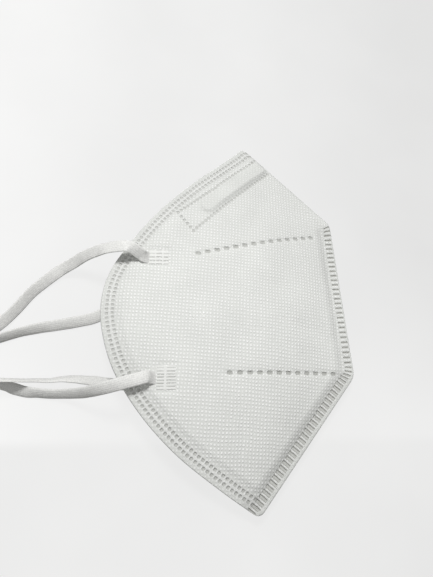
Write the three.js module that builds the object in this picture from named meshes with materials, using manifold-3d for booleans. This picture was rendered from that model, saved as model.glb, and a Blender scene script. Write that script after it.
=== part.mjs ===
// Folding respirator mask, laid flat on its left side, as a three.js scene graph.
//
// The mask is welded non-woven cloth. Its right and left panels meet along a fold over the nose and
// along two welded seams at the front, and are open along the curved face edge. A bent nose clip lies
// in the cloth across the fold, and an elastic ear loop is welded to the outside of each panel.
//
// Millimetres. +X points to the front seams, +Y to the nose and +Z up from the surface that the mask
// lies on. The origin is under the middle of the mask, on that surface.

import * as THREE from 'three';
import { mergeVertices } from 'three/addons/utils/BufferGeometryUtils.js';
import Module from 'manifold-3d';

// ---------------------------------------------------------------------------------------------
// Driving dimensions
// ---------------------------------------------------------------------------------------------

// Corners of the outline before they are rounded: nose, front end of the fold, corner between the two
// front seams, and chin.
const NOSE = new THREE.Vector2(9.6, 80.3);
const FOLD_END = new THREE.Vector2(48.9, 41.9);
const SEAM_CORNER = new THREE.Vector2(52.4, -28.2);
const CHIN = new THREE.Vector2(9.4, -80.3);
const FOLD_END_ROUND = 2.5;
const SEAM_CORNER_ROUND = 3;
const TIP_CUT = 3;             // the nose and chin corners are cut back this far and bulge again
const TIP_BULGE = 1.3;

// Face edge, from near the nose to near the chin.
const FACE_EDGE = [
  { x: -2.9, y: 68.0 },
  { x: -16.8, y: 55.2 },
  { x: -29.6, y: 41.8 },
  { x: -40.7, y: 27.0 },
  { x: -48.9, y: 12.8 },
  { x: -51.9, y: 0.0 },
  { x: -50.7, y: -13.0 },
  { x: -45.5, y: -28.0 },
  { x: -35.3, y: -43.6 },
  { x: -21.9, y: -57.8 },
  { x: -5.7, y: -70.2 },
];

const FACE_EDGE_SAMPLES = 160;

// Rows of the panels run from the face edge to the front. Two rows end in the front's corners: they
// leave the face edge at these shares of its length.
const ROW_AT_FOLD_END = 0.33;
const ROW_AT_SEAM_CORNER = 0.64;
const ROWS = { fold: 12, upperSeam: 10, lowerSeam: 12 };

// Where a row's columns stand: measured from the face edge, measured from the front, and the number
// between. Rows narrower than FULL_WIDTH draw them together.
const EDGE_COLUMNS = [0, 2.6, 6, 11, 18];
const FRONT_COLUMNS = [0, 0.8, 2.4, 4.8, 7.5, 12];
const MIDDLE_COLUMNS = 6;
const FULL_WIDTH = 52;

// Heights
const PARTING = 6;             // plane in which the two panels meet
const GAP = 0.3;               // between pieces that touch
const CROWN = { right: 13, left: 9 };
const CROWN_REACH = { fold: 28, seam: 24 };
const MOUTH_SHARE = 0.6;       // share of the crown that is left at the face edge
const MOUTH_REACH = 25;
const HEM_LIFT = { height: 3.2, reach: 46, power: 1.5 };   // the lower face edge stands off the surface

// Cloth
const WALL = 1.6;
const HEM = { wall: 1.0, width: 6 };         // pressed border along the face edge
const FLANGE = { wall: 0.8, width: 4.6 };    // pressed border along the front seams
const BORDER_STEP = 3;                       // width in which a border grows to the full wall
const FOLD = { half: 2.0, round: 2.6, pressed: 10, lip: 0.25 };

// Nose clip: a flat strip bent like a hairpin over the fold, one leg in each panel.
const CLIP = { width: 4.5, thickness: 0.9, inset: 3.2, bend: 2.6, wall: 3.1, steps: 9, bendSteps: 12 };
const CLIP_END = new THREE.Vector2(-9.7, 43.5);
const CLIP_DIRECTION = new THREE.Vector2(0.72, 0.694);    // from its end to the fold
const POCKET = { inner: 3.6, outer: 8.5 };                // thick cloth round the clip

// Ear loops: flat knitted bands, and the pressed patches that weld their ends to the panels.
const BAND = { width: 4.7, thickness: 1.1, steps: 72 };
const PATCH_THICKNESS = 0.5;
const PATCH_ROUND = 0.8;
const UPPER_PATCH = { x: -29.8, y: 17.9, length: 9, width: 7.2 };
const LOWER_PATCH = { x: -26.2, y: -30.7, length: 8.2, width: 8.4 };

// Routes of the bands, from the upper patch round to the lower one. bank is the turn of the band
// about its own length, in degrees: 0 lies flat.
const RIGHT_LOOP = [
  { x: -35.2, y: 17.8, z: 17.4, bank: 0 },
  { x: -37.7, y: 18.5, z: 18.7, bank: 8 },
  { x: -41.4, y: 20.5, z: 20.0, bank: 8 },
  { x: -45.7, y: 20.7, z: 20.2, bank: -4 },
  { x: -50.1, y: 20.5, z: 18.6, bank: -14 },
  { x: -54.7, y: 20.4, z: 15.2, bank: -20 },
  { x: -59.7, y: 20.1, z: 10.6, bank: -24 },
  { x: -65.0, y: 18.6, z: 5.9, bank: -26 },
  { x: -70.4, y: 16.4, z: 2.7, bank: -30 },
  { x: -75.8, y: 11.6, z: 2.4, bank: -44 },
  { x: -81.1, y: 6.0, z: 2.6, bank: -54 },
  { x: -86.3, y: -1.3, z: 2.6, bank: -50 },
  { x: -91.6, y: -7.6, z: 3.3, bank: -2 },
  { x: -97.9, y: -12.4, z: 3.2, bank: 12 },
  { x: -103.9, y: -16.2, z: 3.0, bank: 6 },
  { x: -107.2, y: -21.6, z: 2.4, bank: 0 },
  { x: -105.0, y: -28.8, z: 3.0, bank: 0 },
  { x: -98.9, y: -33.0, z: 2.9, bank: 2 },
  { x: -90.1, y: -32.8, z: 2.2, bank: 14 },
  { x: -83.7, y: -33.4, z: 2.2, bank: 30 },
  { x: -76.2, y: -33.7, z: 1.9, bank: 34 },
  { x: -69.6, y: -34.0, z: 1.8, bank: 28 },
  { x: -63.5, y: -34.3, z: 3.6, bank: 24 },
  { x: -57.9, y: -34.6, z: 8.0, bank: 20 },
  { x: -52.5, y: -34.4, z: 12.8, bank: 14 },
  { x: -47.1, y: -33.9, z: 16.8, bank: 6 },
  { x: -41.5, y: -32.6, z: 18.7, bank: -4 },
  { x: -35.9, y: -31.1, z: 18.9, bank: -12 },
  { x: -33.0, y: -30.3, z: 18.2, bank: -6 },
  { x: -30.8, y: -30.4, z: 17.4, bank: 0 },
];
const LEFT_LOOP = [
  { x: -34.9, y: 17.7, z: 1.1, bank: 0 },
  { x: -37.3, y: 17.5, z: 1.1, bank: 0 },
  { x: -40.9, y: 15.2, z: 0.9, bank: 0 },
  { x: -43.5, y: 11.0, z: 0.8, bank: 0 },
  { x: -45.9, y: 5.2, z: 0.7, bank: 0 },
  { x: -49.7, y: 0.3, z: 0.8, bank: -4 },
  { x: -54.9, y: -3.3, z: 1.4, bank: -14 },
  { x: -62.3, y: -5.5, z: 1.7, bank: -22 },
  { x: -69.6, y: -7.1, z: 1.9, bank: -30 },
  { x: -76.9, y: -8.6, z: 2.1, bank: -42 },
  { x: -84.2, y: -10.6, z: 2.2, bank: -46 },
  { x: -91.5, y: -12.6, z: 0.9, bank: -4 },
  { x: -98.7, y: -15.2, z: 0.7, bank: 0 },
  { x: -106.7, y: -15.9, z: 0.7, bank: 0 },
  { x: -113.7, y: -17.6, z: 0.7, bank: 0 },
  { x: -116.9, y: -22.2, z: 0.7, bank: 0 },
  { x: -113.9, y: -26.8, z: 0.7, bank: 0 },
  { x: -106.7, y: -28.0, z: 0.7, bank: 0 },
  { x: -99.3, y: -27.2, z: 1.3, bank: -12 },
  { x: -92.9, y: -27.9, z: 2.5, bank: -60 },
  { x: -86.0, y: -29.7, z: 2.7, bank: -98 },
  { x: -79.4, y: -30.1, z: 2.7, bank: -84 },
  { x: -72.0, y: -29.6, z: 2.5, bank: -66 },
  { x: -64.5, y: -28.6, z: 2.0, bank: -40 },
  { x: -56.9, y: -28.5, z: 1.3, bank: -14 },
  { x: -49.7, y: -28.4, z: 0.8, bank: -4 },
  { x: -42.9, y: -28.8, z: 0.7, bank: 0 },
  { x: -36.5, y: -29.8, z: 0.9, bank: 0 },
  { x: -33.1, y: -30.4, z: 1.0, bank: 0 },
  { x: -30.8, y: -30.5, z: 1.1, bank: 0 },
];

// ---------------------------------------------------------------------------------------------
// Materials
// ---------------------------------------------------------------------------------------------

const cloth = (color) => new THREE.MeshStandardMaterial({ color, roughness: 0.95, metalness: 0 });
const PANEL_CLOTH = cloth(0xdddedb);
const ELASTIC = cloth(0xbfc0bc);
const PRESSED_CLOTH = cloth(0xc9cac6);
const CLIP_METAL = new THREE.MeshStandardMaterial({ color: 0xb9bcbf, roughness: 0.4, metalness: 0.9 });

// ---------------------------------------------------------------------------------------------
// Outline in plan
// ---------------------------------------------------------------------------------------------

const towards = (from, to, distance) => from.clone().lerp(to, distance / from.distanceTo(to));

function lineWithRoundCorner(path, from, corner, to, round) {
  const start = towards(corner, from, round);
  const end = towards(corner, to, round);
  path.lineTo(start.x, start.y);
  path.quadraticCurveTo(corner.x, corner.y, end.x, end.y);
}

function frontLine() {
  const start = towards(NOSE, FOLD_END, TIP_CUT);
  const end = towards(CHIN, SEAM_CORNER, TIP_CUT);
  const path = new THREE.Path();
  path.moveTo(start.x, start.y);
  lineWithRoundCorner(path, NOSE, FOLD_END, SEAM_CORNER, FOLD_END_ROUND);
  lineWithRoundCorner(path, FOLD_END, SEAM_CORNER, CHIN, SEAM_CORNER_ROUND);
  path.lineTo(end.x, end.y);
  return path;
}

function faceLine() {
  const points = FACE_EDGE.map((p) => new THREE.Vector2(p.x, p.y));
  const start = towards(NOSE, points[0], TIP_CUT);
  const end = towards(CHIN, points[points.length - 1], TIP_CUT);
  return new THREE.SplineCurve([start, ...points, end]);
}

const front = frontLine();
const faceEdge = faceLine();
const faceEdgeSamples = faceEdge.getSpacedPoints(FACE_EDGE_SAMPLES);

// Share of the front's length at which the row ends that leaves the face edge at share v of its own.
function frontShare(v) {
  const length = front.getLength();
  const foldEnd = NOSE.distanceTo(FOLD_END) - TIP_CUT;
  const seamCorner = foldEnd + FOLD_END.distanceTo(SEAM_CORNER);
  const stops = [
    { v: 0, at: 0 },
    { v: ROW_AT_FOLD_END, at: foldEnd },
    { v: ROW_AT_SEAM_CORNER, at: seamCorner },
    { v: 1, at: length },
  ];
  const i = v <= ROW_AT_FOLD_END ? 0 : v <= ROW_AT_SEAM_CORNER ? 1 : 2;
  const along = (v - stops[i].v) / (stops[i + 1].v - stops[i].v);
  return Math.min(1, THREE.MathUtils.lerp(stops[i].at, stops[i + 1].at, along) / length);
}

function rowShares() {
  const shares = [0];
  const add = (from, to, count) => {
    for (let i = 1; i <= count; i++) shares.push(THREE.MathUtils.lerp(from, to, i / count));
  };
  add(0, ROW_AT_FOLD_END, ROWS.fold);
  add(ROW_AT_FOLD_END, ROW_AT_SEAM_CORNER, ROWS.upperSeam);
  add(ROW_AT_SEAM_CORNER, 1, ROWS.lowerSeam);
  return shares;
}

function columnShares(width) {
  const scale = Math.min(1, width / FULL_WIDTH) / width;
  const left = EDGE_COLUMNS.map((d) => d * scale);
  const right = FRONT_COLUMNS.map((d) => 1 - d * scale).reverse();
  const from = left[left.length - 1];
  const middle = [];
  for (let i = 1; i <= MIDDLE_COLUMNS; i++) {
    middle.push(THREE.MathUtils.lerp(from, right[0], i / (MIDDLE_COLUMNS + 1)));
  }
  return [...left, ...middle, ...right];
}

// The panel's grid in plan: rows from nose to chin, columns from the face edge to the front.
function planGrid() {
  return rowShares().map((v) => {
    const start = faceEdge.getPointAt(v);
    const end = front.getPointAt(frontShare(v));
    const bulge = v === 0 ? TIP_BULGE : v === 1 ? -TIP_BULGE : 0;
    return columnShares(start.distanceTo(end)).map((u) => {
      const p = start.clone().lerp(end, u);
      p.y += bulge * 4 * u * (1 - u);
      return p;
    });
  });
}

// ---------------------------------------------------------------------------------------------
// Heights of the cloth over a point in plan
// ---------------------------------------------------------------------------------------------

const { smoothstep, lerp } = THREE.MathUtils;

// Distance of p from the line a-b, on the side that the mask is on.
function distanceInside(p, a, b) {
  const along = b.clone().sub(a).normalize();
  return Math.max(0, (p.x - a.x) * along.y - (p.y - a.y) * along.x);
}

// Distances of a point from the face edge, the fold, the two seams and the nose clip.
function distancesAt(p) {
  const foldPoint = clipFoldPoint();
  const along = THREE.MathUtils.clamp(
    p.clone().sub(CLIP_END).dot(CLIP_DIRECTION), 0, foldPoint.distanceTo(CLIP_END));
  const onClip = CLIP_END.clone().addScaledVector(CLIP_DIRECTION, along);
  const upperSeam = distanceInside(p, FOLD_END, SEAM_CORNER);
  const lowerSeam = distanceInside(p, SEAM_CORNER, CHIN);
  return {
    edge: Math.min(...faceEdgeSamples.map((q) => q.distanceTo(p))),
    fold: distanceInside(p, NOSE, FOLD_END),
    upperSeam,
    lowerSeam,
    seam: Math.min(upperSeam, lowerSeam),
    clip: onClip.distanceTo(p),
  };
}

// Where the clip's centre line meets the fold.
function clipFoldPoint() {
  const next = CLIP_END.clone().add(CLIP_DIRECTION);
  const start = distanceInside(CLIP_END, NOSE, FOLD_END);
  const step = start - distanceInside(next, NOSE, FOLD_END);
  return CLIP_END.clone().addScaledVector(CLIP_DIRECTION, start / step);
}

const reach = (distance, length) => distance / Math.hypot(distance, length);

// Share of the full crown: nothing along the fold and seams, less again towards the face edge.
function crownShare(d) {
  const fromSeam = (distance) => reach(Math.max(0, distance - FLANGE.width), CROWN_REACH.seam);
  const closed = reach(d.fold, CROWN_REACH.fold) * fromSeam(d.upperSeam) * fromSeam(d.lowerSeam);
  return closed * lerp(MOUTH_SHARE, 1, reach(d.edge, MOUTH_REACH));
}

function wallAt(d) {
  const hem = lerp(HEM.wall, WALL, smoothstep(d.edge, HEM.width, HEM.width + BORDER_STEP));
  const flange = lerp(FLANGE.wall, WALL, smoothstep(d.seam, FLANGE.width, FLANGE.width + BORDER_STEP));
  const pocket = lerp(CLIP.wall, 0, smoothstep(d.clip, POCKET.inner, POCKET.outer));
  return Math.max(Math.min(hem, flange), pocket);
}

// Thickness at the parting plane, which is rounded off along the fold.
function marginAt(d) {
  const fold = lerp(FOLD.half, 0, smoothstep(d.fold, FOLD.round, FOLD.pressed));
  const full = Math.max(wallAt(d), Math.min(fold, wallAt(d) + d.seam));
  const turn = 1 - Math.min(1, d.fold / FOLD.round);
  return full * lerp(FOLD.lip, 1, Math.sqrt(1 - turn * turn));
}

// Outer and inner face of a panel, as heights above or below the parting plane. The layers are
// pressed together near the fold, so the hollow starts a little inside it.
function facesAt(d, crown) {
  const outer = marginAt(d) + crown * crownShare(d);
  const open = smoothstep(d.fold, FOLD.round, FOLD.pressed);
  return { outer, inner: Math.max(0, outer - wallAt(d)) * open };
}

function rightPanelHeights(p) {
  const { outer, inner } = facesAt(distancesAt(p), CROWN.right);
  const plane = PARTING + GAP / 2;
  return { outer: plane + outer, inner: plane + inner };
}

// The left panel lies flattened on the surface, apart from its lifted face edge.
function leftPanelHeights(p) {
  const d = distancesAt(p);
  const faces = facesAt(d, CROWN.left);
  const plane = PARTING - GAP / 2;
  const lift = HEM_LIFT.height * Math.max(0, 1 - d.edge / HEM_LIFT.reach) ** HEM_LIFT.power;
  const outer = Math.max(plane - faces.outer, lift);
  const inner = plane - Math.max(0, plane - outer - (faces.outer - faces.inner));
  return { outer, inner: Math.min(plane, inner) };
}

// ---------------------------------------------------------------------------------------------
// Closed bodies
// ---------------------------------------------------------------------------------------------

// A sheet with thickness: two grids of points, one above the other, and walls round their border.
function closedSheet(upper, lower) {
  const rows = upper.length;
  const columns = upper[0].length;
  const positions = [...upper.flat(), ...lower.flat()].flatMap((p) => [p.x, p.y, p.z]);
  const top = (i, j) => i * columns + j;
  const bottom = (i, j) => rows * columns + top(i, j);
  const index = [];
  const quad = (a, b, c, d) => index.push(a, b, c, a, c, d);
  for (let i = 0; i + 1 < rows; i++) {
    for (let j = 0; j + 1 < columns; j++) {
      quad(top(i, j), top(i + 1, j), top(i + 1, j + 1), top(i, j + 1));
      quad(bottom(i, j), bottom(i, j + 1), bottom(i + 1, j + 1), bottom(i + 1, j));
    }
  }
  const border = [];
  for (let i = 0; i < rows - 1; i++) border.push([i, 0]);
  for (let j = 0; j < columns - 1; j++) border.push([rows - 1, j]);
  for (let i = rows - 1; i > 0; i--) border.push([i, columns - 1]);
  for (let j = columns - 1; j > 0; j--) border.push([0, j]);
  border.forEach(([i, j], k) => {
    const [m, n] = border[(k + 1) % border.length];
    quad(bottom(i, j), bottom(m, n), top(m, n), top(i, j));
  });
  const geometry = new THREE.BufferGeometry();
  geometry.setAttribute('position', new THREE.Float32BufferAttribute(positions, 3));
  geometry.setIndex(index);
  return geometry;
}

// Grids of the outer and inner face of a panel.
function panelFaces(heights) {
  const plan = planGrid();
  const lift = (face) => plan.map((row) => row.map((p) => new THREE.Vector3(p.x, p.y, heights(p)[face])));
  return { outer: lift('outer'), inner: lift('inner') };
}

function rightPanel() {
  const { outer, inner } = panelFaces(rightPanelHeights);
  return closedSheet(outer, inner);
}

function leftPanel() {
  const { outer, inner } = panelFaces(leftPanelHeights);
  return closedSheet(inner, outer);
}

// The clip's centre line in its own upright plane: x runs inwards from the fold, y is the height.
function clipLine() {
  const foldPoint = clipFoldPoint();
  const legLength = foldPoint.distanceTo(CLIP_END);
  const turn = CLIP.inset + CLIP.bend;
  const height = (heights, x) => {
    const { outer, inner } = heights(foldPoint.clone().addScaledVector(CLIP_DIRECTION, -x));
    return (outer + inner) / 2;
  };
  const leg = (heights) => {
    const points = [];
    for (let i = 0; i <= CLIP.steps; i++) {
      const x = lerp(turn, legLength, i / CLIP.steps);
      points.push(new THREE.Vector2(x, height(heights, x)));
    }
    return points;
  };
  const upper = leg(rightPanelHeights);
  const lower = leg(leftPanelHeights);
  const bend = [];
  for (let i = 1; i < CLIP.bendSteps; i++) {
    const angle = Math.PI * (0.5 - i / CLIP.bendSteps);
    const side = angle > 0 ? upper[0].y - PARTING : PARTING - lower[0].y;
    bend.push(new THREE.Vector2(turn - CLIP.bend * Math.cos(angle), PARTING + side * Math.sin(angle)));
  }
  return [...upper.reverse(), ...bend, ...lower];
}

// A strip of constant thickness along the clip's centre line, longer at both ends by extra.
function clipStrip(thickness, width, extra) {
  const line = clipLine();
  const last = line.length - 1;
  line[0].add(line[0].clone().sub(line[1]).setLength(extra));
  line[last].add(line[last].clone().sub(line[last - 1]).setLength(extra));
  const side = (i, sign) => {
    const along = line[Math.min(i + 1, last)].clone().sub(line[Math.max(i - 1, 0)]).normalize();
    return line[i].clone().add(new THREE.Vector2(-along.y, along.x).multiplyScalar((sign * thickness) / 2));
  };
  const outline = [...line.map((_, i) => side(i, 1)), ...line.map((_, i) => side(last - i, -1))];
  const geometry = new THREE.ExtrudeGeometry(new THREE.Shape(outline), { depth: width, bevelEnabled: false });
  return geometry.translate(0, 0, -width / 2);
}

function clipFrame() {
  const foldPoint = clipFoldPoint();
  const inwards = new THREE.Vector3(-CLIP_DIRECTION.x, -CLIP_DIRECTION.y, 0).normalize();
  const up = new THREE.Vector3(0, 0, 1);
  const frame = new THREE.Matrix4().makeBasis(inwards, up, inwards.clone().cross(up));
  return frame.setPosition(foldPoint.x, foldPoint.y, 0);
}

// A welded patch: a thin plate with rounded corners.
function patchGeometry({ length, width }) {
  const x = length / 2 - PATCH_ROUND;
  const y = width / 2 - PATCH_ROUND;
  const shape = new THREE.Shape();
  shape.absarc(x, y, PATCH_ROUND, 0, Math.PI / 2);
  shape.absarc(-x, y, PATCH_ROUND, Math.PI / 2, Math.PI);
  shape.absarc(-x, -y, PATCH_ROUND, Math.PI, 1.5 * Math.PI);
  shape.absarc(x, -y, PATCH_ROUND, 1.5 * Math.PI, 2 * Math.PI);
  const options = { depth: PATCH_THICKNESS, bevelEnabled: false, curveSegments: 4 };
  return new THREE.ExtrudeGeometry(shape, options).translate(0, 0, -PATCH_THICKNESS / 2);
}

// Places a patch on the outside of a panel, level with the cloth under it. side is 1 on the right
// panel, whose outside looks up, and -1 on the left one.
function placePatch(mesh, patch, heights, side) {
  const height = (dx, dy) => heights(new THREE.Vector2(patch.x + dx, patch.y + dy)).outer;
  const x = patch.length / 3;
  const y = patch.width / 3;
  const slopeX = (height(x, 0) - height(-x, 0)) / (2 * x);
  const slopeY = (height(0, y) - height(0, -y)) / (2 * y);
  const normal = new THREE.Vector3(-slopeX, -slopeY, 1).normalize();
  mesh.quaternion.setFromUnitVectors(new THREE.Vector3(0, 0, 1), normal);
  mesh.position.set(patch.x, patch.y, height(0, 0));
  mesh.position.addScaledVector(normal, side * (GAP + PATCH_THICKNESS / 2));
}

// A curve that carries a flat band: the band's width stays level across the route, turned by bank.
class BandRoute extends THREE.CatmullRomCurve3 {
  constructor(route) {
    super(route.map((p) => new THREE.Vector3(p.x, p.y, p.z)), false, 'centripetal');
    this.bank = route.map((p) => THREE.MathUtils.degToRad(p.bank));
  }

  bankAt(u) {
    const place = this.getUtoTmapping(u) * (this.bank.length - 1);
    const i = Math.min(Math.floor(place), this.bank.length - 2);
    return lerp(this.bank[i], this.bank[i + 1], smoothstep(place - i, 0, 1));
  }

  computeFrenetFrames(segments) {
    const frames = { tangents: [], normals: [], binormals: [] };
    for (let i = 0; i <= segments; i++) {
      const u = i / segments;
      const tangent = this.getTangentAt(u);
      const across = new THREE.Vector3(-tangent.y, tangent.x, 0).normalize();
      across.applyAxisAngle(tangent, this.bankAt(u));
      frames.tangents.push(tangent);
      frames.normals.push(across);
      frames.binormals.push(tangent.clone().cross(across));
    }
    return frames;
  }
}

// The band's section: flat, with its edges drawn in.
function bandSection() {
  const x = BAND.width / 2;
  const y = BAND.thickness / 2;
  return new THREE.Shape([
    new THREE.Vector2(-x, -y / 2),
    new THREE.Vector2(-x + y, -y),
    new THREE.Vector2(x - y, -y),
    new THREE.Vector2(x, -y / 2),
    new THREE.Vector2(x, y / 2),
    new THREE.Vector2(x - y, y),
    new THREE.Vector2(-x + y, y),
    new THREE.Vector2(-x, y / 2),
  ]);
}

function earLoop(route) {
  const extrudePath = new BandRoute(route);
  return new THREE.ExtrudeGeometry(bandSection(), { extrudePath, steps: BAND.steps });
}

// ---------------------------------------------------------------------------------------------
// Cutting
// ---------------------------------------------------------------------------------------------

const wasm = await Module();
wasm.setup();

function toSolid(geometry) {
  const bare = geometry.clone();
  bare.deleteAttribute('normal');
  bare.deleteAttribute('uv');
  const merged = mergeVertices(bare, 1e-4);
  return new wasm.Manifold(new wasm.Mesh({
    numProp: 3,
    vertProperties: Float32Array.from(merged.attributes.position.array),
    triVerts: Uint32Array.from(merged.index.array),
  }));
}

function cut(geometry, tool) {
  const { vertProperties, triVerts } = toSolid(geometry).subtract(toSolid(tool)).getMesh();
  const result = new THREE.BufferGeometry();
  result.setAttribute('position', new THREE.Float32BufferAttribute(vertProperties, 3));
  result.setIndex(Array.from(triVerts));
  return result;
}

// ---------------------------------------------------------------------------------------------
// Assembly
// ---------------------------------------------------------------------------------------------

const mask = new THREE.Group();

function addPiece(name, geometry, material) {
  const mesh = new THREE.Mesh(geometry, material.clone());
  mesh.name = name;
  mask.add(mesh);
  return mesh;
}

const slot = clipStrip(CLIP.thickness + 2 * GAP, CLIP.width + 2 * GAP, GAP).applyMatrix4(clipFrame());
addPiece('right_panel', cut(rightPanel(), slot), PANEL_CLOTH);
addPiece('left_panel', cut(leftPanel(), slot), PANEL_CLOTH);
addPiece('nose_clip', clipStrip(CLIP.thickness, CLIP.width, 0), CLIP_METAL).applyMatrix4(clipFrame());

const sides = [
  { name: 'right', side: 1, heights: rightPanelHeights, route: RIGHT_LOOP },
  { name: 'left', side: -1, heights: leftPanelHeights, route: LEFT_LOOP },
];
for (const { name, side, heights, route } of sides) {
  addPiece(`${name}_ear_loop`, earLoop(route), ELASTIC);
  const upper = addPiece(`${name}_upper_loop_weld`, patchGeometry(UPPER_PATCH), PRESSED_CLOTH);
  placePatch(upper, UPPER_PATCH, heights, side);
  const lower = addPiece(`${name}_lower_loop_weld`, patchGeometry(LOWER_PATCH), PRESSED_CLOTH);
  placePatch(lower, LOWER_PATCH, heights, side);
}

export default mask;
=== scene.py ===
"""Folding respirator mask of embossed non-woven cloth, lying on its left side with both ear loops beside it.

The two cloth panels are closed shells worked out from the outline of the folded mask: rows run from the
curved face edge to the fold and the two front seams. The welded pits, bars, dashes and dots are pressed
into their meshes, and the small raised dots of the cloth and its fibres are bump. Sizes are in
millimetres until a mesh is made. +X points to the front seams, +Y to the nose, +Z up.
"""

from math import pi, radians

import bmesh
import bpy
import numpy as np
from mathutils import Euler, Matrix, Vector


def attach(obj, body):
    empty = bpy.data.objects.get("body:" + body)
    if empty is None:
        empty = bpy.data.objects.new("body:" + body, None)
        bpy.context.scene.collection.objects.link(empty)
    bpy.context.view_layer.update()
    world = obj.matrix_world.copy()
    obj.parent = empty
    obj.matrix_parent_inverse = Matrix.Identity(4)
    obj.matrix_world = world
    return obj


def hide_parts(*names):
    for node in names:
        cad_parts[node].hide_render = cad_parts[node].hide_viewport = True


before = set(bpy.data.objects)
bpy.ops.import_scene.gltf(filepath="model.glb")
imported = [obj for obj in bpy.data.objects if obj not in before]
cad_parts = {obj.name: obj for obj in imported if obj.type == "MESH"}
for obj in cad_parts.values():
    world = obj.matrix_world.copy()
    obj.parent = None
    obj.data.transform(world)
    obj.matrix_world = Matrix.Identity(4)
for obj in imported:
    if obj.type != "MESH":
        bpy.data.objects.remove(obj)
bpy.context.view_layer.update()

MM = 0.001

# ---- Outline and heights, as in the frame's solids ------------------

# Corners of the outline before they are rounded.
NOSE = np.array([9.6, 80.3])
FOLD_END = np.array([48.9, 41.9])
SEAM_CORNER = np.array([52.4, -28.2])
CHIN = np.array([9.4, -80.3])
TIP_ROUND = 3.0
FOLD_END_ROUND = 2.5
SEAM_CORNER_ROUND = 3.0

# From near the nose to near the chin.
FACE_EDGE = [
    (-2.9, 68.0),
    (-16.8, 55.2),
    (-29.6, 41.8),
    (-40.7, 27.0),
    (-48.9, 12.8),
    (-51.9, 0.0),
    (-50.7, -13.0),
    (-45.5, -28.0),
    (-35.3, -43.6),
    (-21.9, -57.8),
    (-5.7, -70.2),
]

PARTING = 6.0  # height at which the two panels meet
HALF_GAP = 0.15  # half the gap between them there
CROWN = {"right": 13.0, "left": 9.0}
CROWN_REACH = {"fold": 28.0, "seam": 24.0}
MOUTH_SHARE = 0.6  # share of the crown that is left at the face edge
MOUTH_REACH = 25.0
HEM_LIFT = {"height": 3.2, "reach": 46.0, "power": 1.5}  # the lower face edge stands off the floor
LYING_BLEND = 1.5  # softness of the turn from the curved cloth to where it lies flat

WALL = 1.6
HEM = {"wall": 1.0, "width": 6.0, "round": 0.5}  # pressed border along the face edge
FLANGE = {"wall": 0.8, "width": 4.6, "round": 0.8}  # pressed border along the front seams
BORDER_STEP = 3.0  # width in which it grows to the full wall
FOLD = {"half": 2.0, "round": 2.6, "pressed": 10.0}  # half its thickness, and where it fades

CLIP_END = np.array([-9.7, 43.5])
CLIP_DIRECTION = np.array([0.72, 0.694])  # from the nose clip's end to the fold
POCKET = {"inner": 3.6, "outer": 8.5, "wall": 3.1}  # thick cloth round the clip

# ---- Bands, which twist more than the frame's solids do -------------

# Routes from the upper patch round to the lower one: x, y, z and bank, the turn about the band's own
# length in degrees.
RIGHT_LOOP = [
    (-35.3, 17.8, 17.2, -12),
    (-36.9, 18.3, 18.3, -34),
    (-40.2, 20.0, 20.2, -30),
    (-42.6, 20.7, 20.6, 4),
    (-45.7, 20.7, 20.2, -4),
    (-50.1, 20.5, 18.6, 2),
    (-54.7, 20.4, 15.2, -8),
    (-59.7, 20.1, 10.6, -10),
    (-65.0, 18.6, 5.9, -14),
    (-70.4, 16.4, 2.7, -20),
    (-75.8, 11.6, 2.4, -32),
    (-81.1, 6.0, 2.6, -42),
    (-86.3, -1.3, 2.6, -44),
    (-91.6, -7.6, 3.1, -38),
    (-97.9, -12.4, 3.0, -12),
    (-103.9, -16.2, 3.0, 6),
    (-107.2, -21.6, 2.4, 0),
    (-105.0, -28.8, 3.0, 0),
    (-98.9, -32.4, 2.9, 40),
    (-90.3, -31.0, 2.5, 60),
    (-87.0, -31.5, 2.2, 50),
    (-83.3, -32.5, 1.7, 30),
    (-79.0, -33.7, 1.9, 38),
    (-74.6, -34.2, 2.4, 50),
    (-70.2, -34.6, 2.7, 51),
    (-65.6, -34.7, 3.6, 49),
    (-60.9, -34.9, 5.9, 47),
    (-56.2, -35.0, 9.6, 42),
    (-51.8, -34.6, 13.5, 30),
    (-47.1, -33.9, 16.8, 22),
    (-41.5, -32.6, 18.7, 11),
    (-35.9, -31.1, 18.9, 3),
    (-33.3, -30.4, 18.8, 0),
    (-31.8, -30.4, 17.0, 0),
]
LEFT_LOOP = [
    (-34.9, 17.7, 1.1, 0),
    (-37.3, 17.5, 1.1, 0),
    (-40.9, 15.2, 0.9, 0),
    (-43.5, 11.0, 0.8, 0),
    (-45.9, 5.2, 0.7, 0),
    (-49.7, 0.3, 1.0, -14),
    (-54.9, -3.3, 1.5, -20),
    (-62.3, -5.5, 1.8, -28),
    (-69.6, -7.1, 2.0, -36),
    (-76.9, -8.6, 2.1, -46),
    (-84.2, -10.6, 2.4, -56),
    (-91.5, -13.3, 2.5, -60),
    (-98.7, -15.2, 1.0, -10),
    (-106.7, -15.9, 0.7, 0),
    (-113.7, -17.6, 0.7, 0),
    (-116.9, -22.2, 0.7, 0),
    (-113.9, -26.8, 0.7, 0),
    (-106.7, -28.0, 0.7, 0),
    (-99.3, -27.2, 1.3, -12),
    (-91.3, -29.5, 6.5, -66),
    (-85.9, -29.9, 6.9, -71),
    (-82.5, -29.8, 5.9, -71),
    (-78.7, -29.6, 4.1, -71),
    (-74.6, -29.3, 2.8, -69),
    (-70.7, -29.3, 2.5, -66),
    (-66.3, -28.7, 2.3, -58),
    (-61.8, -28.6, 2.1, -48),
    (-57.3, -28.9, 1.9, -40),
    (-52.7, -29.4, 1.4, -26),
    (-47.7, -30.3, 0.9, -12),
    (-42.9, -30.5, 0.8, -4),
    (-36.5, -30.4, 0.9, 0),
    (-33.1, -30.4, 1.0, 0),
    (-30.8, -30.5, 1.1, 0),
]

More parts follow.
